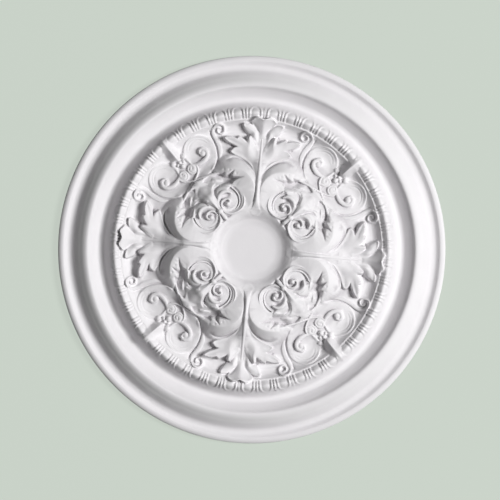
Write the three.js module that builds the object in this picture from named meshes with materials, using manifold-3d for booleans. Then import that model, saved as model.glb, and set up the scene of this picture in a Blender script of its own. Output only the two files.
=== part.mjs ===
// Plaster ceiling rose with acanthus leaves, scrolls and an egg-and-dart band around a plain centre dish.
// It is one casting, lying on its flat back with the carved face up. Millimetres, +Z out of the carved face.
import * as THREE from 'three';
import { mergeVertices } from 'three/addons/utils/BufferGeometryUtils.js';
import Module from 'manifold-3d';

const wasm = await Module();
wasm.setup();

// Driving dimensions of the turned body: radii, and heights above the back
const outerRadius = 305;
const edgeHeight = 10;
const edgeCrest = { r: 298, z: 14.5 };
const edgeValley = { r: 288.5, z: 10.5 };
const coveTop = { r: 271, z: 23 };
const ringCrest = { r: 258.5, z: 31 };
const ringFillet = { r: 252.5, z: 27.5 };
const ringValley = { r: 236.5, z: 14 };
const eggBandOuter = { r: 218, z: 35.8 };
const eggBandInner = { r: 206.8, z: 29.4 };
const beadLine = { r: 205, z: 29.5 };
const fieldLow = { r: 189, z: 17.6 };
const moundFoot = { r: 148, z: 25.5 };
const moundShoulder = { r: 105, z: 51.5 };
const moundTop = { r: 92, z: 53.8 };
const dishRim = { r: 60, z: 53 };
const dishFlat = { r: 32, z: 38.5 };

// How finely the body and the carving are faceted
const ringSides = 48;
const moundSides = 24;
const moundOverlap = 6;
const weldDistance = 1e-3;
const strokeSink = 3;
const eighthTurn = Math.PI / 4;
const quarterTurn = Math.PI / 2;
const quarters = [0, 1, 2, 3];

// The egg-and-dart band
const eggCount = 48;
const eggRadius = 212.4;
const eggHalfWidth = 5.6;
const eggHalfLength = 5.4;
const eggRise = 5;

const plaster = new THREE.MeshStandardMaterial({ color: 0xf1eff1, roughness: 0.75, metalness: 0 });

// The face of the moulded ring, from the outer edge in to the low field
function ringProfile() {
  const face = new THREE.Path();
  face.moveTo(outerRadius, edgeHeight);
  face.lineTo(edgeCrest.r, edgeCrest.z);
  face.lineTo(edgeValley.r, edgeValley.z);
  face.quadraticCurveTo(edgeValley.r - 10, edgeValley.z + 3, coveTop.r, coveTop.z);
  face.quadraticCurveTo(coveTop.r - 7, ringCrest.z, ringCrest.r, ringCrest.z);
  face.lineTo(ringFillet.r, ringFillet.z);
  face.quadraticCurveTo(ringFillet.r - 8, ringValley.z, ringValley.r, ringValley.z);
  face.quadraticCurveTo(ringValley.r - 6, ringValley.z + 3, eggBandOuter.r, eggBandOuter.z);
  face.lineTo(eggBandInner.r, eggBandInner.z);
  face.lineTo(beadLine.r, beadLine.z);
  face.quadraticCurveTo(fieldLow.r + 6, fieldLow.z, fieldLow.r, fieldLow.z);
  return face.getPoints(2);
}

// The face of the mound, from the low field in to the centre of the dish
function moundProfile() {
  const face = new THREE.Path();
  face.moveTo(fieldLow.r + moundOverlap, fieldLow.z);
  face.lineTo(moundFoot.r, moundFoot.z);
  face.quadraticCurveTo(moundFoot.r - 22, moundFoot.z + 8, moundShoulder.r, moundShoulder.z);
  face.lineTo(moundTop.r, moundTop.z);
  face.lineTo(dishRim.r, dishRim.z);
  face.quadraticCurveTo(dishRim.r - 10, dishFlat.z + 1, dishFlat.r, dishFlat.z);
  face.lineTo(0, dishFlat.z);
  return face.getPoints(2);
}

const ringFace = ringProfile();
const moundFace = moundProfile();
const face = [...ringFace, ...moundFace.slice(1)];

// Height of the turned face at a distance from the centre
function ground(radius) {
  const next = face.findIndex((point) => point.x <= radius);
  const inner = face[next];
  const outer = face[Math.max(next - 1, 0)];
  const share = outer.x === inner.x ? 0 : (radius - inner.x) / (outer.x - inner.x);
  return THREE.MathUtils.lerp(inner.y, outer.y, Math.min(share, 1));
}

// Value at t, from 0 to 1, along a row of evenly spaced values
function along(values, t) {
  const place = t * (values.length - 1);
  const index = Math.min(Math.floor(place), values.length - 2);
  return THREE.MathUtils.lerp(values[index], values[index + 1], place - index);
}

// Sections of the carved strokes: across from -1 to 1, from the buried foot at -1 up to the crown at 1
const ridge = new THREE.Shape([
  new THREE.Vector2(-1, -1),
  new THREE.Vector2(1, -1),
  new THREE.Vector2(0, 1),
]);
const ribbon = new THREE.Shape([
  new THREE.Vector2(-1, -1),
  new THREE.Vector2(1, -1),
  new THREE.Vector2(0.75, 1),
  new THREE.Vector2(-0.75, 1),
]);

// A straight bar of the section, bent onto a curve over the ground, with its own width and rise along it
function stroke({ section, steps, curve, halfWidth, rise }) {
  const bar = new THREE.ExtrudeGeometry(section, { depth: 1, steps, bevelEnabled: false });
  const position = bar.attributes.position;
  for (let i = 0; i < position.count; i += 1) {
    const t = THREE.MathUtils.clamp(position.getZ(i), 0, 1);
    const centre = curve.getPointAt(t);
    const heading = curve.getTangentAt(t);
    const across = position.getX(i) * along(halfWidth, t);
    const x = centre.x - heading.y * across;
    const y = centre.y + heading.x * across;
    const up = position.getY(i);
    const lift = up < 0 ? -strokeSink : up * along(rise, t);
    position.setXYZ(i, x, y, ground(centre.length()) + lift);
  }
  return bar;
}

function throughPoints(points) {
  return new THREE.SplineCurve(points.map(([x, y]) => new THREE.Vector2(x, y)));
}

// A coil that winds in to its eye, while its middle drifts from the outer turn's to the eye's
function coil({ outerMiddle, outerTurn, eye, eyeTurn, from, to, tightening }) {
  const stations = 28;
  const points = [];
  for (let i = 0; i <= stations; i += 1) {
    const share = i / stations;
    const angle = THREE.MathUtils.degToRad(THREE.MathUtils.lerp(from, to, share));
    const wound = share ** tightening;
    const radius = THREE.MathUtils.lerp(outerTurn, eyeTurn, wound);
    const x = THREE.MathUtils.lerp(outerMiddle[0], eye[0], wound) + radius * Math.cos(angle);
    const y = THREE.MathUtils.lerp(outerMiddle[1], eye[1], wound) + radius * Math.sin(angle);
    points.push([x, y]);
  }
  return throughPoints(points);
}

// Carving beside the diagonals: +Y runs out along the diagonal, and each piece has a mirror image
const voluteCurve = coil({
  outerMiddle: [25, 85], outerTurn: 21, eye: [17.5, 82], eyeTurn: 6, from: 75, to: -300, tightening: 1.6,
});
const scrollCurve = throughPoints([
  [8, 140], [21, 139], [39, 143], [52, 153], [54, 169], [47, 183], [36, 187], [25, 181], [24, 168], [34, 162],
]);
const tendrilCurve = throughPoints([[32, 133], [50, 140], [63, 153], [68, 168], [75, 180]]);
const besideDiagonal = [
  { // cup behind the volute
    section: ribbon, steps: 4, halfWidth: [4, 10, 13, 12, 5], rise: [6, 10, 11, 9, 5],
    curve: throughPoints([[37, 122], [52, 115], [60, 101], [60, 85], [51, 70], [36, 63]]),
  },
  { section: ridge, steps: 6, halfWidth: [5, 5.5, 5, 5], rise: [5, 5.5, 5.5, 5], curve: voluteCurve },
  { section: ribbon, steps: 5, halfWidth: [4, 6, 6.5, 6.5, 5, 4], rise: [4, 5, 5, 5, 5], curve: scrollCurve },
  { section: ridge, steps: 3, halfWidth: [2.5, 5, 6, 5], rise: [3, 4.5, 4.5, 4], curve: tendrilCurve },
  { // strap from the heart across the diagonal to the cup
    section: ridge, steps: 3, halfWidth: [3, 3.5, 4, 4], rise: [5, 5, 4, 4],
    curve: throughPoints([[16, 157], [13, 147], [0, 140], [-20, 133], [-38, 126]]),
  },
  { // small leaf wrapped over the cup
    section: ridge, steps: 2, halfWidth: [4, 6, 2], rise: [5, 11, 13],
    curve: throughPoints([[32, 127], [42, 117], [47, 108]]),
  },
];
const beadsBesideDiagonal = [
  { at: [8.5, 157], radius: 8.5, rise: 7 },
  { at: [83, 177], radius: 7.5, rise: 7 },
  { at: [39, 167], radius: 5, rise: 6 },
];

// Carving on the diagonals themselves
const onDiagonal = [
  { // fan leaf across the egg-and-dart band
    section: ridge, steps: 3, halfWidth: [3, 4.5, 7, 11], rise: [4, 8, 8, 4],
    curve: new THREE.LineCurve(new THREE.Vector2(0, 176), new THREE.Vector2(0, 225)),
  },
  { // calyx between the volutes
    section: ridge, steps: 4, halfWidth: [4, 6, 12, 11, 3], rise: [4, 5, 7, 7, 4],
    curve: new THREE.LineCurve(new THREE.Vector2(0, 76), new THREE.Vector2(0, 128)),
  },
];

// Carving beside the main leaves: +Y runs out along the leaf, and each lobe has a mirror image
const besideLeaf = [
  {
    section: ridge, steps: 3, halfWidth: [3, 8, 8, 2], rise: [4, 5, 6, 9],
    curve: throughPoints([[6, 120], [17, 137], [33, 147], [51, 149]]),
  },
  {
    section: ridge, steps: 3, halfWidth: [3, 9, 9, 2], rise: [4, 5, 6, 10],
    curve: throughPoints([[5, 132], [16, 150], [34, 163], [61, 171]]),
  },
  {
    section: ridge, steps: 2, halfWidth: [3, 7, 7, 2], rise: [4, 5, 7, 9],
    curve: throughPoints([[4, 160], [12, 175], [23, 187], [36, 197]]),
  },
];
const onLeaf = [
  { // stem, flared like a trumpet at the dish
    section: ribbon, steps: 4, halfWidth: [10, 6, 5, 4, 3], rise: [3, 8, 9, 8, 6],
    curve: new THREE.LineCurve(new THREE.Vector2(0, 62), new THREE.Vector2(0, 186)),
  },
  { // tip of the leaf, curled up over the band
    section: ribbon, steps: 2, halfWidth: [6, 12, 18], rise: [6, 14, 16],
    curve: new THREE.LineCurve(new THREE.Vector2(0, 176), new THREE.Vector2(0, 208)),
  },
];

function mirrored(geometry) {
  const flipped = geometry.clone().scale(-1, 1, 1);
  const position = flipped.attributes.position;
  for (let i = 0; i < position.count; i += 3) {
    const first = new THREE.Vector3().fromBufferAttribute(position, i);
    const last = new THREE.Vector3().fromBufferAttribute(position, i + 2);
    position.setXYZ(i, last.x, last.y, last.z);
    position.setXYZ(i + 2, first.x, first.y, first.z);
  }
  return flipped;
}

function solidOf(geometry) {
  const bare = geometry.clone();
  bare.deleteAttribute('normal');
  bare.deleteAttribute('uv');
  const merged = mergeVertices(bare, weldDistance);
  return new wasm.Manifold(new wasm.Mesh({
    numProp: 3,
    vertProperties: new Float32Array(merged.attributes.position.array),
    triVerts: new Uint32Array(merged.index.array),
  }));
}

function turnedRing() {
  const inner = new THREE.Vector2(fieldLow.r, 0);
  const outline = [inner, new THREE.Vector2(outerRadius, 0), ...ringFace, inner];
  return new THREE.LatheGeometry(outline, ringSides).rotateX(Math.PI / 2);
}

function turnedMound() {
  const outline = [new THREE.Vector2(0, 0), new THREE.Vector2(fieldLow.r + moundOverlap, 0), ...moundFace];
  return new THREE.LatheGeometry(outline, moundSides).rotateX(Math.PI / 2);
}

function bead({ at, radius, rise }) {
  const ball = new THREE.SphereGeometry(1, 6, 3).toNonIndexed().rotateX(Math.PI / 2);
  return ball.scale(radius, radius, rise).translate(at[0], at[1], ground(Math.hypot(...at)));
}

function egg() {
  const ball = new THREE.SphereGeometry(1, 5, 2).rotateX(Math.PI / 2);
  return ball.scale(eggHalfWidth, eggHalfLength, eggRise).translate(0, eggRadius, ground(eggRadius));
}

// All the carving, as geometries in their places around the centre
function carving() {
  const pieces = [];
  for (const quarter of quarters) {
    const onAxis = quarter * quarterTurn;
    const onCorner = onAxis - eighthTurn;
    for (const spec of besideDiagonal) {
      const piece = stroke(spec);
      pieces.push(piece.clone().rotateZ(onCorner), mirrored(piece).rotateZ(onCorner));
    }
    for (const spec of besideLeaf) {
      const piece = stroke(spec);
      pieces.push(piece.clone().rotateZ(onAxis), mirrored(piece).rotateZ(onAxis));
    }
    pieces.push(...onDiagonal.map((spec) => stroke(spec).rotateZ(onCorner)));
    for (const spec of beadsBesideDiagonal) {
      const piece = bead(spec);
      pieces.push(piece.clone().rotateZ(onCorner), mirrored(piece).rotateZ(onCorner));
    }
    pieces.push(...onLeaf.map((spec) => stroke(spec).rotateZ(onAxis)));
  }
  const pitch = 2 * Math.PI / eggCount;
  for (let i = 0; i < eggCount; i += 1) {
    pieces.push(egg().rotateZ((i + 0.5) * pitch));
  }
  return pieces;
}

function castSolid() {
  let cast = solidOf(turnedRing()).add(solidOf(turnedMound()));
  for (const piece of carving()) {
    cast = cast.add(solidOf(piece));
  }
  return cast;
}

function geometryOf(solid) {
  const mesh = solid.getMesh();
  const geometry = new THREE.BufferGeometry();
  geometry.setAttribute('position', new THREE.BufferAttribute(new Float32Array(mesh.vertProperties), 3));
  geometry.setIndex(new THREE.BufferAttribute(new Uint32Array(mesh.triVerts), 1));
  geometry.computeVertexNormals();
  return geometry;
}

const rose = new THREE.Mesh(geometryOf(castSolid()), plaster);
rose.name = 'ceiling_rose';

const group = new THREE.Group();
group.add(rose);

export default group;
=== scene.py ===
import math

import bmesh
import bpy
import numpy as np
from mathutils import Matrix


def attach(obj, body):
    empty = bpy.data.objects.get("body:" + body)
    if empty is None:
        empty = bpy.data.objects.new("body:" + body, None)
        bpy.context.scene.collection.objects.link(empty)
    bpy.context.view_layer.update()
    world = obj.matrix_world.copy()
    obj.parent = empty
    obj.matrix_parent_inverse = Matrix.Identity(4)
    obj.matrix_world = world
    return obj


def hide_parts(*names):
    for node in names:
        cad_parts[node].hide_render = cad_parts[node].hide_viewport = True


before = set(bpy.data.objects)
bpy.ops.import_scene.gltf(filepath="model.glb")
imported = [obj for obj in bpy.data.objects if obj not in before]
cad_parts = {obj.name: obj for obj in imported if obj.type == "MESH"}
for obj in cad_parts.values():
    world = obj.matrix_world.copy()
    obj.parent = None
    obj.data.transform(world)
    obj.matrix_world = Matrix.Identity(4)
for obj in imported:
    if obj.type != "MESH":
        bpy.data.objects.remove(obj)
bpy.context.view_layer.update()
mm = 0.001  # all carving sizes below are in millimetres


# Ways to cut plaster

def smoothStep(x):
    x = np.clip(x, 0.0, 1.0)
    return x * x * (3.0 - 2.0 * x)


def softMax(a, b, fillet):  # the higher of two surfaces, with a fillet where they cross
    gap = np.maximum(fillet - np.abs(a - b), 0.0) / fillet
    return np.maximum(a, b) + gap * gap * fillet * 0.25


def spline(points, spacing=0.8):  # a smooth line through a few points, and how far along it each one is
    p = np.array(points, float)
    p = np.vstack([2 * p[0] - p[1], p, 2 * p[-1] - p[-2]])
    s = np.linspace(0.0, 1.0, 24, endpoint=False)[:, None]
    runs = []
    for a, b, c, d in zip(p, p[1:], p[2:], p[3:]):
        bend = (2 * a - 5 * b + 4 * c - d) * s ** 2 + (3 * b - a - 3 * c + d) * s ** 3
        runs.append(0.5 * (2 * b + (c - a) * s + bend))
    line = np.vstack(runs + [p[-2:-1]])
    run = np.concatenate([[0.0], np.cumsum(np.hypot(*np.diff(line, axis=0).T))])
    stops = np.linspace(0.0, run[-1], max(int(run[-1] / spacing), 6))
    path = np.column_stack([np.interp(stops, run, line[:, i]) for i in (0, 1)])
    return path, run[::24] / run[-1]


def along(values, share, marks):  # a value at each point of a line, read anywhere along it
    if len(values) != len(marks):
        marks = np.linspace(0.0, 1.0, len(values))
    return np.interp(share, marks, values)


def locate(path, x, y, reach):  # the points near a path, how far along it and how far beside it
    low, high = path.min(0) - reach, path.max(0) + reach
    near = np.nonzero((x > low[0]) & (x < high[0]) & (y > low[1]) & (y < high[1]))[0]
    px, py = x[near], y[near]
    nearest = np.zeros(len(near), int)
    least = np.full(len(near), 1e18)
    for i, (ax, ay) in enumerate(path):
        gap = (px - ax) ** 2 + (py - ay) ** 2
        closer = gap < least
        least[closer] = gap[closer]
        nearest[closer] = i
    legs = np.diff(path, axis=0)
    best = np.full(len(near), 1e9)
    share = np.zeros(len(near))
    side = np.ones(len(near))
    for back in (1, 0):
        k = np.clip(nearest - back, 0, len(legs) - 1)
        dx, dy = px - path[k, 0], py - path[k, 1]
        lx, ly = legs[k, 0], legs[k, 1]
        t = np.clip((dx * lx + dy * ly) / (lx * lx + ly * ly), 0.0, 1.0)
        gap = np.hypot(dx - t * lx, dy - t * ly)
        closer = gap < best
        best[closer] = gap[closer]
        share[closer] = ((k + t) / len(legs))[closer]
        side[closer] = np.where(lx * dy - ly * dx < 0, -1.0, 1.0)[closer]
    return near, share, best, side


def within(path, x, y):  # which points lie inside a closed outline
    inside = np.zeros(len(x), bool)
    for (ax, ay), (bx, by) in zip(path, np.roll(path, -1, axis=0)):
        if ay != by:
            crossed = (ay > y) != (by > y)
            inside ^= crossed & (x < ax + (y - ay) / (by - ay) * (bx - ax))
    return inside


sections = {  # the height across a stroke: d is 0 on its line and 1 at its side
    "round": lambda d: np.sqrt(np.clip(1 - d * d, 0, 1)),
    "flat": lambda d: 1 - 0.12 * d * d,
    "roof": lambda d: 1 - d,
    "ridge": lambda d: 0.5 + 0.5 * (1 - d),
}


def raiseStroke(face, plan, points, halfWidth, rise, section="round", wall=1.6, fillet=0.8, sink=1.5,
                both=False):
    path, marks = spline(points)
    across, outward = face[plan]
    for side in ((1, -1) if both else (1,)):
        near, t, gap = locate(path * np.array([side, 1]), across, outward, max(halfWidth))[:3]
        width = along(halfWidth, t, marks)
        d = gap / width
        crown = sections[section](np.minimum(d, 1.0))
        skirt = smoothStep((1 - d) * width / wall)
        top = face["ground"][near] + (along(rise, t, marks) * crown + sink) * skirt - sink
        now = face["z"][near]
        face["z"][near] = np.where(d < 1, softMax(now, top, fillet), now)


def raiseLedge(face, plan, points, rise, spread, inner=1, wall=1.8, curl=1.0):  # inner is the sloping side
    path, marks = spline(points)
    across, outward = face[plan]
    near, t, gap, hand = locate(path, across, outward, max(spread))
    behind = np.clip(1 - gap / along(spread, t, marks), 0, 1) ** curl  # a long slope up to the edge
    beyond = 1 - smoothStep(gap / wall)  # and a short drop past it
    taper = 0.06  # the share of its length in which each end fades out
    ends = smoothStep(t / taper) * smoothStep((1 - t) / taper)
    face["z"][near] += along(rise, t, marks) * np.where(hand == inner, behind, beyond) * ends


def raisePlate(face, plan, outline, edge, level, wall, curl, fillet=0.6):
    path, marks = spline(outline + outline[:1])
    across, outward = face[plan]
    near, t, gap = locate(path, across, outward, max(wall))[:3]
    rim = along(edge + edge[:1], t, marks)
    inner = level(across[near], outward[near])
    plate = inner + (rim - inner) * np.exp(-gap / curl)  # curls up to its edge
    drop = rim * (1 - smoothStep(gap / along(wall + wall[:1], t, marks)))
    lift = np.where(within(path, across[near], outward[near]), plate, drop)
    now = face["z"][near]
    face["z"][near] = np.where(lift > 0, softMax(now, face["ground"][near] + lift, fillet), now)


def cutLine(face, plan, points, halfWidth, depth):
    path, marks = spline(points)
    across, outward = face[plan]
    near, t, gap = locate(path, across, outward, max(halfWidth))[:3]
    face["z"][near] -= along(depth, t, marks) * (1 - smoothStep(gap / along(halfWidth, t, marks)))


def sinkPatch(face, plan, outline, floor, steep, ease=0.4):  # a hollow with steep sides, down to a floor
    path = spline(outline + outline[:1])[0]
    across, outward = face[plan]
    found = locate(path, across, outward, 0.5)
    near, gap = found[0], found[2]
    now = face["z"][near]
    sunk = np.maximum(floor(across[near], face["ground"][near]), now - steep * (np.hypot(gap, ease) - ease))
    face["z"][near] = np.where(within(path, across[near], outward[near]), np.minimum(now, sunk), now)


def raiseBead(face, plan, at, radius, rise, fillet=0.8, power=2.0):
    across, outward = face[plan]
    d = np.hypot(across - at[0], outward - at[1]) / radius
    near = np.nonzero(d < 1)[0]
    top = face["ground"][near] + rise * np.sqrt(1 - d[near] ** power)
    face["z"][near] = softMax(face["z"][near], top, fillet)


def sinkPit(face, plan, at, radius, depth):
    across, outward = face[plan]
    d = np.hypot(across - at[0], outward - at[1]) / radius
    face["z"] -= depth * (1 - smoothStep(d))


# The turned blank: the ring, the field, the mound and the dish

def arc(start, pull, end, steps):  # one curved stretch of the turned profile
    s = np.linspace(0.0, 1.0, steps + 1)[1:, None]
    start, pull, end = (np.array(p, float) for p in (start, pull, end))
    return (1 - s) ** 2 * start + 2 * s * (1 - s) * pull + s ** 2 * end


blank = {
    "edge": (305.0, 9.6),
    "ring": [  # each is (pull, end, steps), radius and height
        ((304.9, 11.8), (302.8, 13.2), 5), ((300.6, 14.8), (298.4, 14.8), 5), ((296.8, 15), (295.4, 14), 5),
        ((292.6, 11.4), (290.4, 10.2), 6), ((288.6, 9.4), (286, 9.9), 5), ((283, 10.4), (280.6, 12.8), 6),
        ((276.4, 17.4), (272, 22.6), 8), ((271.2, 23.2), (270.4, 23.8), 2),
        ((264.6, 30.4), (260, 31.2), 10), ((257.4, 31.6), (255.6, 29.4), 6), ((254, 27.4), (252.9, 25.8), 4),
        ((252.3, 25), (251.4, 24.2), 3), ((246.2, 19.2), (241.6, 14.8), 8), ((239, 12.6), (236, 12.6), 8),
        ((233, 12.6), (230.2, 16.4), 8), ((226.4, 22), (221.6, 29.6), 8), ((218.6, 35.4), (215.6, 36.6), 8),
        ((213.4, 37), (211.6, 34.8), 6), ((209, 31.8), (206.6, 29.2), 5), ((206.2, 30.6), (204.9, 30.6), 4),
        ((203.7, 30.6), (203.1, 28.4), 4), ((200.4, 25), (197.4, 21.4), 6),
    ],
    "bed": [  # field, mound, shoulder, dish wall and dish
        (197.4, 21.4), (192.6, 18.5), (188, 17.6), (178, 18.6), (166, 20.8), (154, 23.2),
        (146, 25.3), (140, 28.2), (132, 33.2), (124, 38.2), (117, 41.8), (112, 45.4),
        (107.5, 50), (103, 52.6), (96, 53.6), (80, 54), (66, 54),
        (64, 53.4), (61, 51.8), (57.5, 48.9), (54.5, 46.1), (51.2, 43.4), (46.6, 40.7),
        (40, 38.9), (33, 38.5), (16, 38.5), (0, 38.5),
    ],
    "bedSpacing": 1.6,
}


def turnedProfile():
    runs = [np.array([blank["edge"]])]
    for pull, end, steps in blank["ring"]:
        runs.append(arc(runs[-1][-1], pull, end, steps))
    runs.append(spline(blank["bed"], blank["bedSpacing"])[0][1:])
    return np.vstack(runs)


profile = turnedProfile()


def groundAt(radius):
    return np.interp(radius, profile[::-1, 0], profile[::-1, 1])


# Carving of one eighth, folded over the whole face

neck = {  # the back of a leaf: it climbs out of the dish, then is a broad rib between the two bowls
    "out": [54, 58, 62, 66, 70, 74, 78, 82, 90, 98, 104, 110,
            116, 125, 135, 145, 152, 160, 168, 176, 184, 192, 200],
    "half": [17, 17, 16.5, 15.5, 14, 12, 10, 9, 8, 8, 9, 10,
             12, 15, 20, 27, 32, 32, 28, 22, 16, 12, 10],
    "rise": [0, -1.5, -2.3, -1.4, 1.2, 3.6, 5.2, 5.6, 5.4, 5.2, 5.6, 7.6,
             8.8, 9, 8.5, 7.6, 6.4, 4.6, 4, 4, 3.4, 1.5, 0],
}


def carveNeck(face):
    across, outward = face["leaf"]
    half = np.interp(outward, neck["out"], neck["half"])
    rise = np.interp(outward, neck["out"], neck["rise"], left=0.0, right=0.0)
    face["ground"] = face["ground"] + rise * np.clip(1 - (across / half) ** 2, 0, 1) ** 2
    face["z"] = face["ground"].copy()


bulb = {  # the bowl that holds a volute: a broad lip, a steep flank outside it, the coil sunk inside
    "rim": [(14, 63.5), (8.5, 71), (6, 81), (5.5, 91), (6.5, 100), (10.5, 109), (19, 117.6), (29, 122.3),
            (38, 124), (46, 123.5), (53, 121.8), (59, 119.3), (65, 116)],
    "height": [53.5, 55.5, 57.5, 58.7, 59, 58, 55, 52, 50.4, 48.6, 46, 42.5, 38.5],
    "dip": [0.2, 0.2, 0.2, 0.2, 0.2, 0.16, 0.1, 0.04, 0.0, -0.04, -0.06, -0.06, 0.0],
    "flank": [1.6, 1.6, 1.6, 1.6, 1.5, 1.36, 1.24, 1.18, 1.16, 1.15, 1.15, 1.15, 1.1],
    "reach": 34.0, "rimRound": 1.5, "dishEdge": 65.0, "dishSteep": 4.0,
    "foot": [(8, 121), (14, 129), (21.5, 135.3), (29, 139.6), (37, 141.4), (45, 141), (53, 137)],
    "footHalf": [1.2, 2.6, 3, 3, 2.8, 2.4, 1.4], "footDepth": [0.4, 4.6, 6, 5.4, 4, 2.4, 0.4],
}


def carveBulb(face):
    path, marks = spline(bulb["rim"])
    across, outward = face["leaf"]
    near, t, gap, hand = locate(path, across, outward, bulb["reach"])
    top = along(bulb["height"], t, marks)
    flank = top - along(bulb["flank"], t, marks) * (np.hypot(gap, bulb["rimRound"]) - bulb["rimRound"])
    lip = top - along(bulb["dip"], t, marks) * gap
    # the lip ends where the dish begins
    dishSide = bulb["dishSteep"] * np.clip(bulb["dishEdge"] - face["radius"][near], 0, None)
    face["z"][near] = softMax(face["z"][near], np.where(hand > 0, flank, lip) - dishSide, 0.8)


leaf = {  # acanthus: a stem, big notched lobes, small lobes above them and a tip over the egg band
    "stem": [(0, 61.5), (0, 66), (0, 72), (0, 79), (0, 88), (0, 98), (0, 106), (0, 114), (0, 130), (0, 150),
             (0, 170), (0, 186), (0, 204)],
    "stemHalf": [9.5, 6.5, 4.8, 4, 3.8, 3.8, 3.6, 3.2, 2.8, 2.6, 2.4, 2.2, 2.2],
    "stemRise": [0.5, 1.5, 2.4, 2.6, 2.5, 2.4, 2.3, 2, 1.7, 1.5, 1.4, 1.3, 1.2],
    "side": [(3, 140), (4.5, 154), (8.5, 163), (13.5, 171), (19, 177.5), (22.2, 174.5), (23, 168),
             (29.5, 171.5), (36.5, 175), (39.5, 171.5), (48, 173.5), (58.5, 171.5), (52.5, 166.5),
             (46, 163.5), (36.5, 158.8), (42, 156.5), (46.5, 151), (41, 147.5), (35, 145), (28, 142.5),
             (20, 137.5), (13, 130), (7, 122), (3, 125)],
    "sideEdge": [0, 1, 3.5, 6.5, 11, 12, 11.5, 13.6, 15, 15, 15.4, 15.4,
                 13, 11, 9.4, 10, 9.2, 7, 6, 5, 3.5, 2, 0.5, 0],
    "sideWall": [1.8, 1.8, 1.8, 1.8, 1.8, 1.8, 1.8, 2, 2, 2, 2.2, 3,
                 4, 4, 3, 3, 3.5, 3.5, 2, 1.6, 1.6, 1.6, 1.6, 1.6],
    "upper": [(3, 170), (5, 182), (9.5, 188.8), (14.5, 193.2), (20, 195.8), (26, 196.6), (31, 195.6),
              (28.5, 190), (25.5, 185), (23, 182), (18, 178.8), (12, 171.5), (7, 163), (3, 158)],
    "upperEdge": [0.5, 2, 4, 6.4, 8.6, 10.2, 11.2, 10.8, 9.4, 7, 4.4, 2.5, 1, 0.3],
    "upperWall": [1.6, 1.6, 1.6, 1.6, 1.8, 2, 2.4, 3, 3, 2.4, 1.6, 1.6, 1.6, 1.6],
    "tip": [(-8, 175), (6.5, 176), (10.5, 184), (14, 191), (17.5, 197.5), (19.5, 201), (16.5, 203.8),
            (13.5, 207.4), (9, 208.2), (4, 206.2), (0, 204.6), (-8, 206.5)],
    "tipEdge": [1.5, 1.5, 3.2, 5.6, 7.5, 7.5, 8, 9.6, 11.8, 13.6, 14.6, 13],
    "tipWall": [1.6, 1.6, 1.6, 1.8, 1.8, 1.8, 1.8, 1.8, 1.8, 1.8, 1.8, 1.8],
    "overlap": [(4, 156), (8, 164), (13, 171), (20, 178.5)],
    "overlapRise": [0.8, 1.8, 2.4, 2.2], "overlapSpread": [6, 9, 10, 8],
    "creases": [[(4, 155), (9, 163.5), (14, 171.5), (20, 179)], [(5.5, 184), (9, 190), (13, 195), (19, 200)]],
    "creaseHalf": [1.0, 1.8, 2.2, 2.0], "creaseDepth": [0.6, 1.8, 2.4, 1.4],
    "pits": [((24.5, 177.5), 3.2, 4.0), ((47.5, 160), 2.6, 3.0)],
    "sideTop": {"height": 32.6, "lean": 0.13, "leanFrom": 155, "fall": 0.06, "easeFrom": 3, "easeOver": 19},
    "upperTop": {"height": 31.2, "fall": 0.06, "skew": 0.4, "skewFrom": 176, "easeFrom": 2, "easeOver": 14},
    "tipTop": {"height": 22.5, "climb": 0.46, "climbFrom": 183, "bend": 4, "fall": 0.36},
}


def sideLevel(u, v):  # the big lobes lean out a little and ease into the rib at the stem
    top = leaf["sideTop"]
    height = top["height"] + top["lean"] * (v - top["leanFrom"]) - top["fall"] * u
    return (height - groundAt(np.hypot(u, v))) * smoothStep((u - top["easeFrom"]) / top["easeOver"])


def upperLevel(u, v):  # the small lobes are nearly flat
    top = leaf["upperTop"]
    height = top["height"] - top["fall"] * u
    reach = u + top["skew"] * (v - top["skewFrom"])
    return (height - groundAt(np.hypot(u, v))) * smoothStep((reach - top["easeFrom"]) / top["easeOver"])


def tipLevel(u, v):  # the tip climbs over the egg band and falls away at its sides
    top = leaf["tipTop"]
    out = v - top["climbFrom"]
    height = top["height"] + top["climb"] * (out + np.hypot(out, top["bend"])) - top["fall"] * np.abs(u)
    return height - groundAt(np.hypot(u, v))


def carveLeaf(face):
    raisePlate(face, "leaf", leaf["side"], leaf["sideEdge"], sideLevel, leaf["sideWall"], curl=3.0)
    raisePlate(face, "leaf", leaf["upper"], leaf["upperEdge"], upperLevel, leaf["upperWall"], curl=3.0)
    raisePlate(face, "leaf", leaf["tip"], leaf["tipEdge"], tipLevel, leaf["tipWall"], curl=2.0)
    raiseLedge(face, "leaf", leaf["overlap"], leaf["overlapRise"], leaf["overlapSpread"], inner=-1, wall=2.2)
    for line in leaf["creases"]:
        cutLine(face, "leaf", line, leaf["creaseHalf"], leaf["creaseDepth"])
    for at, radius, depth in leaf["pits"]:
        sinkPit(face, "leaf", at, radius, depth)
    cutLine(face, "leaf", bulb["foot"], bulb["footHalf"], bulb["footDepth"])
    raiseStroke(face, "leaf", leaf["stem"], leaf["stemHalf"], leaf["stemRise"], "ridge", wall=1.4)


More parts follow.
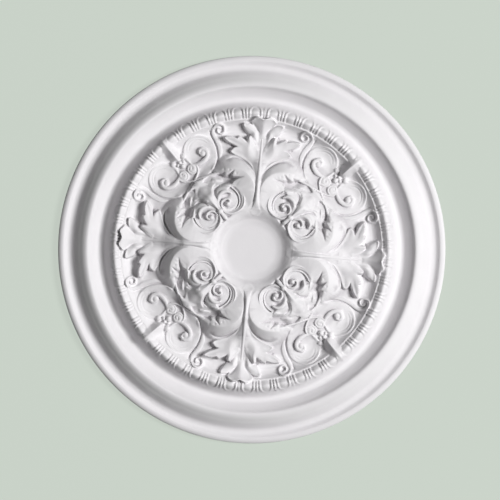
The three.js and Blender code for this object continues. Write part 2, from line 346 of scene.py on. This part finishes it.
volute = {  # a ribbon with a reeded edge that winds in to a button, sunk into the bowl
    "bed": [(5, 73), (8.5, 66.6), (14.5, 63), (22, 61.4), (31, 63), (38.4, 69.2), (43, 77.8),
            (44.2, 86.8), (42.4, 95), (36, 99.5), (27, 98), (18, 97), (10, 93), (5, 87), (3, 79)],
    "floor": 48.6, "steep": 1.9, "ease": 1.6,
    "lip": [(4, 76), (6, 70), (11, 64.4), (20.6, 60.4), (31.4, 60.6), (40, 66.4), (45, 76), (46.2, 86)],
    "lipHalf": [1.8, 2.2, 2.6, 2.8, 2.8, 2.6, 2.4, 1.6], "lipRise": [6.4, 7, 7.2, 7.4, 7.4, 7, 6, 4.4],
    "band": [(31, 73), (26, 70), (19, 68.4), (12.5, 70.4), (8.5, 76), (6.5, 83)],
    "bandHalf": [2, 3.6, 4.4, 4.4, 3.8, 2.4], "bandRise": [1, 1.6, 2, 2.8, 3.8, 4],
    "core": ((22.5, 80.5), 13.5, 1.4),
    "reed": [(11, 67.8), (16, 65.6), (22, 65), (29.8, 67.2), (35.4, 72.6), (38.8, 79.6), (39.4, 87.4),
             (37.6, 95)],
    "reedHalf": [1, 1.6, 1.8, 1.9, 1.9, 1.9, 1.8, 1.4], "reedRise": [2.8, 3, 3, 3.2, 3.4, 3.6, 4.2, 5.2],
    "ribbon": [(31, 90), (28, 95.5), (22, 98.4), (14.5, 97.6), (9, 93.4)],
    "ribbonHalf": [2.6, 3.8, 4.4, 4.2, 3], "ribbonRise": [6, 7.4, 7.8, 7.2, 6],
    "turn": [(8, 71.5), (6.4, 78), (7.6, 83.6), (11.6, 87.6), (17, 88), (21.8, 85), (22, 80.4), (18.4, 78.6)],
    "turnHalf": [1.5, 2.2, 2.6, 2.8, 2.8, 2.8, 3, 3.2], "turnRise": [3, 5.2, 6.8, 7.6, 7.6, 7.4, 7.6, 8.2],
    "eye": (16.8, 79.2), "eyeRadius": 4.4, "eyeRise": 9.2,
    "gap": [(-4, 60.5), (11.5, 60.5), (8, 65.4), (5.4, 70.5), (3.6, 76), (-4, 78)],
    "gapFloor": 45.5, "gapSteep": 2.4, "gapEase": 0.8,
    "moat": [((24.5, 90.5), 7.0, 3.2), ((11.6, 77), 4.0, 1.6)],
}


def carveVolute(face):
    plan = "diagonal"
    sinkPatch(face, plan, volute["bed"], lambda x, ground: volute["floor"], volute["steep"], volute["ease"])
    steep, ease = volute["gapSteep"], volute["gapEase"]
    sinkPatch(face, plan, volute["gap"], lambda x, ground: volute["gapFloor"], steep, ease)
    mound = face["ground"]
    face["ground"] = np.full_like(mound, volute["floor"])  # what follows rises from the floor of the hollow
    raiseStroke(face, plan, volute["band"], volute["bandHalf"], volute["bandRise"], wall=2.6)
    raiseBead(face, plan, *volute["core"], power=2.4)
    raiseStroke(face, plan, volute["reed"], volute["reedHalf"], volute["reedRise"], wall=1.2, fillet=0.4)
    raiseStroke(face, plan, volute["lip"], volute["lipHalf"], volute["lipRise"], wall=1.8)
    for at, radius, depth in volute["moat"]:
        sinkPit(face, plan, at, radius, depth)
    raiseStroke(face, plan, volute["ribbon"], volute["ribbonHalf"], volute["ribbonRise"], wall=1.6)
    raiseStroke(face, plan, volute["turn"], volute["turnHalf"], volute["turnRise"], wall=1.4)
    raiseBead(face, plan, volute["eye"], volute["eyeRadius"], volute["eyeRise"], power=2.4)
    face["ground"] = mound


scroll = {  # a broad C with a raised rim that curls round to a button
    "edge": [(6, 139), (20, 135.5), (36, 138.5), (49, 147), (57, 159), (60, 171), (57, 183.5), (48, 193),
             (36.5, 196.5), (25, 194.5), (16, 187.5), (12.5, 178), (13.5, 168)],
    "rise": [1.5, 1.8, 2, 2, 2.2, 2.4, 2.6, 2.8, 2.8, 2.8, 2.6, 2.4, 2],
    "spread": [6, 9, 12, 14, 14, 14, 14, 14, 14, 14, 12, 8, 6],
    "reeds": [[(56, 173), (53.5, 182), (46, 190), (36.5, 193.2), (26.5, 191.5), (19, 185.5)],
              [(52, 174), (49.5, 181), (44, 187), (36.5, 189.5), (28.5, 188), (22.5, 183)]],
    "reedHalf": [1.0, 1.4, 1.4, 1.0], "reedDepth": [0.4, 1.0, 1.0, 0.4],
    "curl": [(15.5, 160.5), (22, 157), (31, 155.8), (40, 158.5), (44, 165), (41, 172), (35.5, 172.5),
             (33, 168)],
    "curlHalf": [2.5, 4, 4.5, 4.5, 4.2, 3.8, 3, 2.2], "curlRise": [3, 4.8, 6, 6.6, 6.6, 6.4, 6, 6],
    "eye": (37, 166), "eyeRadius": 5.8, "eyeRise": 7.0,
    "inner": [(9, 188), (11, 180), (11.5, 171), (13, 163)],
    "innerHalf": [2, 3, 3, 2], "innerRise": [1.5, 3, 3, 2],
}


def carveScroll(face):
    plan = "diagonal"
    raiseLedge(face, plan, scroll["edge"], scroll["rise"], scroll["spread"], wall=1.6, curl=0.8)
    for line in scroll["reeds"]:
        cutLine(face, plan, line, scroll["reedHalf"], scroll["reedDepth"])
    raiseStroke(face, plan, scroll["inner"], scroll["innerHalf"], scroll["innerRise"])
    raiseStroke(face, plan, scroll["curl"], scroll["curlHalf"], scroll["curlRise"])
    raiseBead(face, plan, scroll["eye"], scroll["eyeRadius"], scroll["eyeRise"])


tendril = {  # a grooved strip beside the scroll that ends in a small curled bud
    "strip": [(74, 186), (69, 178), (66.5, 165), (60.5, 151.5), (50, 140)],
    "stripHalf": [2.5, 4.5, 5, 5, 2], "stripRise": [3, 3, 2.6, 2.2, 0.5],
    "groove": [(68, 187), (64.5, 176), (61.5, 163), (55, 150), (43, 139), (28, 132.5)],
    "grooveHalf": [1.6, 2.0, 2.0, 2.0, 1.8, 1.2], "grooveDepth": [2.4, 2.4, 2.2, 2.2, 2.0, 0.8],
    "bud": [(73, 184), (79, 186.5), (86, 184.5), (89.5, 178), (86, 171.5), (79.5, 171), (76.5, 176),
            (79.5, 180.5), (84, 179)],
    "budHalf": [2, 2.6, 2.8, 2.8, 2.6, 2.4, 2.2, 2, 1.6], "budRise": [3, 4.5, 5, 5, 5, 5, 5, 5, 5],
}


def carveTendril(face):
    plan = "diagonal"
    raiseStroke(face, plan, tendril["strip"], tendril["stripHalf"], tendril["stripRise"], "flat", wall=2.2)
    cutLine(face, plan, tendril["groove"], tendril["grooveHalf"], tendril["grooveDepth"])
    raiseStroke(face, plan, tendril["bud"], tendril["budHalf"], tendril["budRise"])


heart = {  # two little coils where the scrolls meet, the strap that ties them and a cluster of berries
    "curls": (8.6, 157.0), "curlRadius": 8.8, "curlRise": 4.2,
    "groove": [(8, 157), (11, 159.5), (8, 162.5), (3.5, 159), (5, 153), (11.5, 151.5), (15.5, 157)],
    "grooveHalf": [1.2, 1.5, 1.5, 1.4], "grooveDepth": [1.4, 1.5, 1.3, 0.8],
    "strap": [(17.3, 158), (15.8, 151.5), (9, 145.5), (0, 141), (-18, 134.5), (-36, 127)],
    "strapHalf": [1.8, 2.0, 2.2, 2.4, 2.6, 2.6], "strapRise": [4, 4, 4, 4.2, 4, 4],
    "berries": [((0, 170.5), 4.6, 7), ((0, 178), 3.4, 6.5), ((10.5, 182), 5, 6.5), ((5.5, 175.5), 3, 5)],
}


def carveHeart(face):
    plan = "diagonal"
    raiseBead(face, plan, heart["curls"], heart["curlRadius"], heart["curlRise"], power=5.0)
    cutLine(face, plan, heart["groove"], heart["grooveHalf"], heart["grooveDepth"])
    raiseStroke(face, plan, heart["strap"], heart["strapHalf"], heart["strapRise"], wall=1.2, both=True)
    for at, radius, rise in heart["berries"]:
        raiseBead(face, plan, at, radius, rise)


fan = {  # the leaf laid over the egg band: a level crest with sides that fall away from it
    "out": [181, 185, 190, 198, 206, 214, 220, 226],
    "crest": [22, 33, 37.5, 40, 41.6, 42.4, 39, 24],
    "fall": [2, 2, 2, 1.8, 1.0, 0.75, 0.75, 0.75],
}


def carveFan(face):
    x, y = face["diagonal"]
    crest = np.interp(y, fan["out"], fan["crest"], left=0.0, right=0.0)
    top = crest - np.interp(y, fan["out"], fan["fall"]) * (np.hypot(x, 0.8) - 0.8)
    face["z"] = softMax(face["z"], top, 0.8)


wrap = {  # the ragged leaf between the bowl's lip and the coil, and the deep pocket under it
    "pocket": [(33, 131), (40, 124.5), (45.5, 121), (43, 117.5), (49, 116), (59.5, 114), (51.5, 109.5),
               (55, 105), (65, 95.6), (54, 99), (46, 99.8), (41, 99), (36, 103.5), (30, 107), (25, 109.5),
               (21, 117), (12, 124), (8, 131), (20, 134)],
    "shallow": 0.5, "deep": 6.0, "deepFrom": 24.0, "deepOver": 12.0, "steep": 2.6,
    "ledges": [([(20, 124), (26, 119.5), (34, 112)], [1.5, 3.2, 1.5], [4, 6, 4]),
               ([(28, 107), (33, 102.5), (38, 98)], [1.2, 3, 1.2], [4, 5, 4])],
    "dents": [((37.5, 118.5), 2.4, 1.2), ((47, 125), 2.8, 1.2), ((53, 119), 2.8, 1.2), ((58, 108), 2.4, 1.0)],
}


def pocketFloor(x, ground):
    return ground - wrap["shallow"] - wrap["deep"] * smoothStep((x - wrap["deepFrom"]) / wrap["deepOver"])


def carveWrap(face):
    sinkPatch(face, "diagonal", wrap["pocket"], pocketFloor, wrap["steep"])
    for line, rise, spread in wrap["ledges"]:
        raiseLedge(face, "diagonal", line, rise, spread)
    for at, radius, depth in wrap["dents"]:
        sinkPit(face, "diagonal", at, radius, depth)


calyx = {  # the pointed leaf between a pair of volutes, with a petal, a bead at the waist and a bud below it
    "leaf": [(0, 78), (0, 88), (0, 98), (0, 108), (0, 118), (0, 130)],
    "leafHalf": [3, 4.5, 8, 14, 13, 4], "leafRise": [4, 5.5, 6, 6, 5, 1.6],
    "petal": [(5, 101), (8.5, 109.5), (15, 115.5), (22, 117)],
    "petalRise": [1, 2.4, 2.8, 1.2], "petalSpread": [4, 6, 7, 5],
    "groove": [(9, 97), (11, 104), (16.5, 109.5), (24, 110)],
    "grooveHalf": [1.6, 3.2, 3.4, 2], "grooveDepth": [2, 5, 5, 2],
    "bead": ((0, 78), 4.8, 6.0),
    "bud": [(0, 61), (0, 66), (0, 74)], "budHalf": [2.2, 3.6, 3.2], "budRise": [1, 3, 4.5],
}


def carveCalyx(face):
    plan = "diagonal"
    raiseStroke(face, plan, calyx["leaf"], calyx["leafHalf"], calyx["leafRise"], "roof", wall=3.0, fillet=2.0)
    raiseLedge(face, plan, calyx["petal"], calyx["petalRise"], calyx["petalSpread"], wall=2.0)
    cutLine(face, plan, calyx["groove"], calyx["grooveHalf"], calyx["grooveDepth"])
    raiseBead(face, plan, *calyx["bead"])
    raiseStroke(face, plan, calyx["bud"], calyx["budHalf"], calyx["budRise"], wall=1.5)


eggs = {"count": 48, "bandFrom": 205.5, "bandTo": 227.5, "fadeIn": 2.0, "fadeOut": 8.0,
        "archHalf": 9.2, "archFrom": 217.0, "archTop": 9.0, "archLine": 1.6, "archRise": 3.2,
        "eggHalf": 6.2, "eggRise": 2.0, "dartLine": 1.4, "dartRise": 3.2, "dartTo": 225.5, "dartFade": 4.0}


def carveEggs(face):  # round-topped arches, each with an egg in it and a dart between it and the next
    radius, pitch = face["radius"], 360.0 / eggs["count"]
    turns = face["fromLeaf"] / pitch
    fromEgg = np.abs(turns % 1.0 - 0.5) * np.radians(pitch) * radius
    fromDart = np.abs((turns + 0.5) % 1.0 - 0.5) * np.radians(pitch) * radius
    above = np.clip(radius - eggs["archFrom"], 0, None) * eggs["archHalf"] / eggs["archTop"]
    reach = np.hypot(fromEgg, above)  # how far from the middle of the arch
    inside = smoothStep((radius - eggs["bandFrom"]) / eggs["fadeIn"])
    band = inside * smoothStep((eggs["bandTo"] - radius) / eggs["fadeOut"])
    arch = eggs["archRise"] * np.exp(-((reach - eggs["archHalf"]) / eggs["archLine"]) ** 2)
    egg = eggs["eggRise"] * np.sqrt(np.clip(1 - (reach / eggs["eggHalf"]) ** 2, 0, 1))
    dart = eggs["dartRise"] * np.exp(-(fromDart / eggs["dartLine"]) ** 2)
    dart = dart * smoothStep((eggs["dartTo"] - radius) / eggs["dartFade"])
    face["z"] = face["z"] + band * np.maximum(np.maximum(arch, dart), egg)


def carveFace(face):
    carveNeck(face)
    carveEggs(face)
    carveBulb(face)
    carveVolute(face)
    carveTendril(face)
    carveScroll(face)
    carveLeaf(face)
    carveWrap(face)
    carveCalyx(face)
    carveHeart(face)
    carveFan(face)


def foldFace(radius, fromLeaf):
    a, b = np.radians(fromLeaf), np.radians(45.0 - fromLeaf)
    ground = groundAt(radius)
    return {
        "radius": radius, "fromLeaf": fromLeaf, "ground": ground, "z": ground.copy(),
        "leaf": (radius * np.sin(a), radius * np.cos(a)),
        "diagonal": (radius * np.sin(b), radius * np.cos(b)),
    }


# Casting: a flat disc of rows and columns, bent round and raised to the carving

casting = {"columns": 1280, "carvedFrom": 44.0, "carvedTo": 230.0, "rowStep": 0.9, "triangles": 190000,
           # the hollow entries set the painted shade laid into the carving's hollows
           "hollowRounds": 12, "hollowDepth": 2.4, "hollowTo": 172.0, "hollowFade": 6.0}


def rowRadii():
    carved = np.arange(casting["carvedFrom"], casting["carvedTo"], casting["rowStep"])
    turned = profile[(profile[:, 0] < casting["carvedFrom"]) | (profile[:, 0] > casting["carvedTo"]), 0]
    return np.unique(np.concatenate([carved, turned]))


def castRose():
    radii = rowRadii()
    columns = casting["columns"]
    bm = bmesh.new()
    bmesh.ops.create_grid(bm, x_segments=len(radii) + 1, y_segments=columns, size=0.5)
    mesh = bpy.data.meshes.new("ceilingRose")
    bm.to_mesh(mesh)
    bm.free()
    flat = np.zeros(len(mesh.vertices) * 3)
    mesh.vertices.foreach_get("co", flat)
    flat = flat.reshape(-1, 3)
    row = np.rint((flat[:, 0] + 0.5) * (len(radii) + 1)).astype(int)
    column = np.rint((flat[:, 1] + 0.5) * columns).astype(int)
    rowRadius = np.concatenate([radii, [radii[-1], 0.0]])  # the last two rows close the flat back
    quarter = columns // 4
    fold = np.abs((column + quarter // 2) % quarter - quarter // 2)  # every eighth is carved alike
    one, each = np.unique(row * columns + fold, return_inverse=True)
    face = foldFace(rowRadius[one // columns], (one % columns) * 360.0 / columns)
    carveFace(face)
    print("carving:", len(one), "points, copied to", len(row))
    z = np.where(row < len(radii), face["z"][each], 0.0)
    angle = column * 2 * math.pi / columns
    place = np.column_stack([rowRadius[row] * np.cos(angle), rowRadius[row] * np.sin(angle), z])
    mesh.vertices.foreach_set("co", (place * mm).astype(np.float32).ravel())
    mesh.update()
    return mesh


def closeMesh(mesh):
    bm = bmesh.new()
    bm.from_mesh(mesh)
    bmesh.ops.remove_doubles(bm, verts=bm.verts, dist=1e-6)
    bmesh.ops.recalc_face_normals(bm, faces=bm.faces)
    bm.to_mesh(mesh)
    bm.free()


def markHollows(mesh):  # how far each point lies below the plaster around it, which sets the painted shade in the hollows
    ends = np.zeros(len(mesh.edges) * 2, int)
    mesh.edges.foreach_get("vertices", ends)
    a, b = ends[::2], ends[1::2]
    place = np.zeros(len(mesh.vertices) * 3)
    mesh.vertices.foreach_get("co", place)
    around = height = place[2::3]
    count = np.bincount(ends, minlength=len(height))
    for _ in range(casting["hollowRounds"]):
        sums = np.bincount(a, around[b], len(height)) + np.bincount(b, around[a], len(height))
        around = (around + sums) / (1 + count)
    # painted shade: strongest in the deepest hollows, fading out before the ring
    inward = casting["hollowTo"] * mm - np.hypot(place[::3], place[1::3])
    carved = smoothStep(inward / (casting["hollowFade"] * mm))
    hollow = carved * np.clip((around - height) / (casting["hollowDepth"] * mm), 0, 1)
    mesh.attributes.new("hollow", "FLOAT", "POINT").data.foreach_set("value", hollow.astype(np.float32))


def makeRose():
    mesh = castRose()
    closeMesh(mesh)
    rose = bpy.data.objects.new("ceilingRose", mesh)
    bpy.context.scene.collection.objects.link(rose)
    whole = sum(len(p.vertices) - 2 for p in mesh.polygons)
    thin = rose.modifiers.new("thin", "DECIMATE")
    thin.ratio = min(1.0, casting["triangles"] / whole)
    evaluated = rose.evaluated_get(bpy.context.evaluated_depsgraph_get())
    thinned = bpy.data.meshes.new_from_object(evaluated)
    rose.modifiers.clear()
    rose.data = thinned
    thinned.shade_smooth()
    markHollows(thinned)
    print("rose:", whole, "triangles thinned to", sum(len(p.vertices) - 2 for p in thinned.polygons))
    return rose


# Finishes

def linear(code):  # sRGB hex to linear
    parts = [int(code[i:i + 2], 16) / 255 for i in (1, 3, 5)]
    return [c / 12.92 if c <= 0.04045 else ((c + 0.055) / 1.055) ** 2.4 for c in parts] + [1.0]


def addNode(tree, kind, settings=None, links=None):
    node = tree.nodes.new(kind)
    for name, value in (settings or {}).items():
        if name in node.inputs:
            node.inputs[name].default_value = value
        else:
            setattr(node, name, value)
    for name, socket in (links or {}).items():
        tree.links.new(socket, node.inputs[name])
    return node


def newMaterial(name):
    material = bpy.data.materials.new(name)
    material.use_nodes = True
    return material, material.node_tree.nodes["Principled BSDF"]


# the darker colour laid into the hollows is painted shade, not dirt
plaster = {"pale": "#E1DFE1", "shade": "#D9D7D9", "paintedShade": "#C3C0C3", "roughness": 0.85, "specular": 0.08,
           "mottle": 45.0, "wave": 30.0, "waveDepth": 1.0, "waveStrength": 0.25,
           "pore": 3.0, "poreDepth": 0.3, "poreStrength": 0.2}  # sizes in millimetres


# cast gypsum plaster under flat white paint: matt and faintly mottled, with painted shade greying the hollows
def castPlaster():
    material, shader = newMaterial("castPlaster")
    tree = material.node_tree
    place = {"Vector": addNode(tree, "ShaderNodeTexCoord").outputs["Object"]}
    blotch = {"Scale": 1 / (plaster["mottle"] * mm), "Detail": 3.0}
    mottle = addNode(tree, "ShaderNodeTexNoise", blotch, place)
    tone = addNode(tree, "ShaderNodeValToRGB", links={"Fac": mottle.outputs["Fac"]})
    tone.color_ramp.elements[0].color = linear(plaster["shade"])
    tone.color_ramp.elements[1].color = linear(plaster["pale"])
    hollow = addNode(tree, "ShaderNodeAttribute", {"attribute_name": "hollow"})
    # painted shade: the deeper a point lies below its surroundings, the greyer its colour
    paintedShade = addNode(tree, "ShaderNodeMix", {"data_type": "RGBA"}, {"Factor": hollow.outputs["Fac"]})
    tree.links.new(tone.outputs["Color"], paintedShade.inputs[6])  # the first colour
    paintedShade.inputs[7].default_value = linear(plaster["paintedShade"])  # the second: the painted shade colour
    tree.links.new(paintedShade.outputs[2], shader.inputs["Base Color"])
    # waves of the mould, and pores drawn coarser than real ones so that they show at this size
    wave = addNode(tree, "ShaderNodeTexNoise", {"Scale": 1 / (plaster["wave"] * mm), "Detail": 1.0}, place)
    waved = addNode(tree, "ShaderNodeBump",
                    {"Strength": plaster["waveStrength"], "Distance": plaster["waveDepth"] * mm},
                    {"Height": wave.outputs["Fac"]})
    pores = addNode(tree, "ShaderNodeTexNoise", {"Scale": 1 / (plaster["pore"] * mm), "Detail": 2.0}, place)
    pitted = addNode(tree, "ShaderNodeBump",
                     {"Strength": plaster["poreStrength"], "Distance": plaster["poreDepth"] * mm},
                     {"Height": pores.outputs["Fac"], "Normal": waved.outputs["Normal"]})
    tree.links.new(pitted.outputs["Normal"], shader.inputs["Normal"])
    shader.inputs["Roughness"].default_value = plaster["roughness"]
    shader.inputs["Specular IOR Level"].default_value = plaster["specular"]
    print("plaster:", len(tree.nodes), "nodes")
    return material


# the floor's size is in metres, its drop below the rose's back in mm
backdrop = {"colour": "#CAD3C9", "lit": 0.12, "glow": 0.886, "size": 60.0, "drop": 0.5}


# matt paper: an even pale ground that glows a little, so that hardly any shadow falls on it
def palePaper():
    material, shader = newMaterial("palePaper")
    pale = linear(backdrop["colour"])
    shader.inputs["Base Color"].default_value = [backdrop["lit"] * c for c in pale[:3]] + [1.0]
    shader.inputs["Roughness"].default_value = 1.0
    shader.inputs["Specular IOR Level"].default_value = 0.0
    shader.inputs["Emission Color"].default_value = pale
    shader.inputs["Emission Strength"].default_value = backdrop["glow"]
    return material


rose = makeRose()
rose.data.materials.append(castPlaster())
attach(rose, "root")
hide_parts("ceiling_rose")


# Stage: floor, light, sky and camera

stage = {"turn": 5.4, "lightTurn": 3.0, "lightHeight": 50.0, "lightAway": 7.0, "lightSize": 2.2,
         "lightPower": 582.0, "skyStrength": 0.085, "cameraHeight": 8.0, "viewWidth": 0.78815,
         "aside": (-0.00279, -0.00052)}  # angles in degrees, lengths in metres


def makeFloor():
    bm = bmesh.new()
    bmesh.ops.create_grid(bm, x_segments=1, y_segments=1, size=backdrop["size"] / 2)
    mesh = bpy.data.meshes.new("floor")
    bm.to_mesh(mesh)
    bm.free()
    floor = bpy.data.objects.new("floor", mesh)
    bpy.context.scene.collection.objects.link(floor)
    floor.location.z = -backdrop["drop"] * mm
    floor.data.materials.append(palePaper())


def makeLight():
    turn = math.radians(stage["turn"] + stage["lightTurn"])
    height = math.radians(stage["lightHeight"])
    light = bpy.data.lights.new("softbox", "AREA")
    light.energy = stage["lightPower"]
    light.size = stage["lightSize"]
    lamp = bpy.data.objects.new("softbox", light)
    bpy.context.scene.collection.objects.link(lamp)
    out, up = stage["lightAway"] * math.cos(height), stage["lightAway"] * math.sin(height)
    lamp.location = (out * math.cos(turn), out * math.sin(turn), up)
    lamp.rotation_euler = (-lamp.location).to_track_quat("-Z", "Y").to_euler()


def makeWorld():  # a weak white sky for fill, and a wall of the floor's colour behind its far edge
    world = bpy.data.worlds.new("studio")
    world.use_nodes = True
    tree = world.node_tree
    sky = tree.nodes["Background"]
    sky.inputs["Color"].default_value = (1.0, 1.0, 1.0, 1.0)
    sky.inputs["Strength"].default_value = stage["skyStrength"]
    wall = addNode(tree, "ShaderNodeBackground", {"Color": linear(backdrop["colour"])})
    seen = addNode(tree, "ShaderNodeLightPath").outputs["Is Camera Ray"]
    both = addNode(tree, "ShaderNodeMixShader", links={"Fac": seen})
    tree.links.new(sky.outputs["Background"], both.inputs[1])
    tree.links.new(wall.outputs["Background"], both.inputs[2])
    tree.links.new(both.outputs["Shader"], tree.nodes["World Output"].inputs["Surface"])
    bpy.context.scene.world = world


def makeCamera():
    data = bpy.data.cameras.new("camera")
    camera = bpy.data.objects.new("camera", data)
    bpy.context.scene.collection.objects.link(camera)
    data.lens = data.sensor_width * stage["cameraHeight"] / stage["viewWidth"]
    turn = math.radians(stage["turn"])
    right, up = stage["aside"]  # the rose sits a little off the middle of the picture
    x = right * math.cos(turn) - up * math.sin(turn)
    y = right * math.sin(turn) + up * math.cos(turn)
    camera.location = (x, y, stage["cameraHeight"])
    camera.rotation_euler = (0.0, 0.0, turn)
    bpy.context.scene.camera = camera


makeFloor()
makeLight()
makeWorld()
makeCamera()
bpy.context.scene.view_settings.view_transform = "Standard"
print("stage: floor, softbox, sky and camera are set")
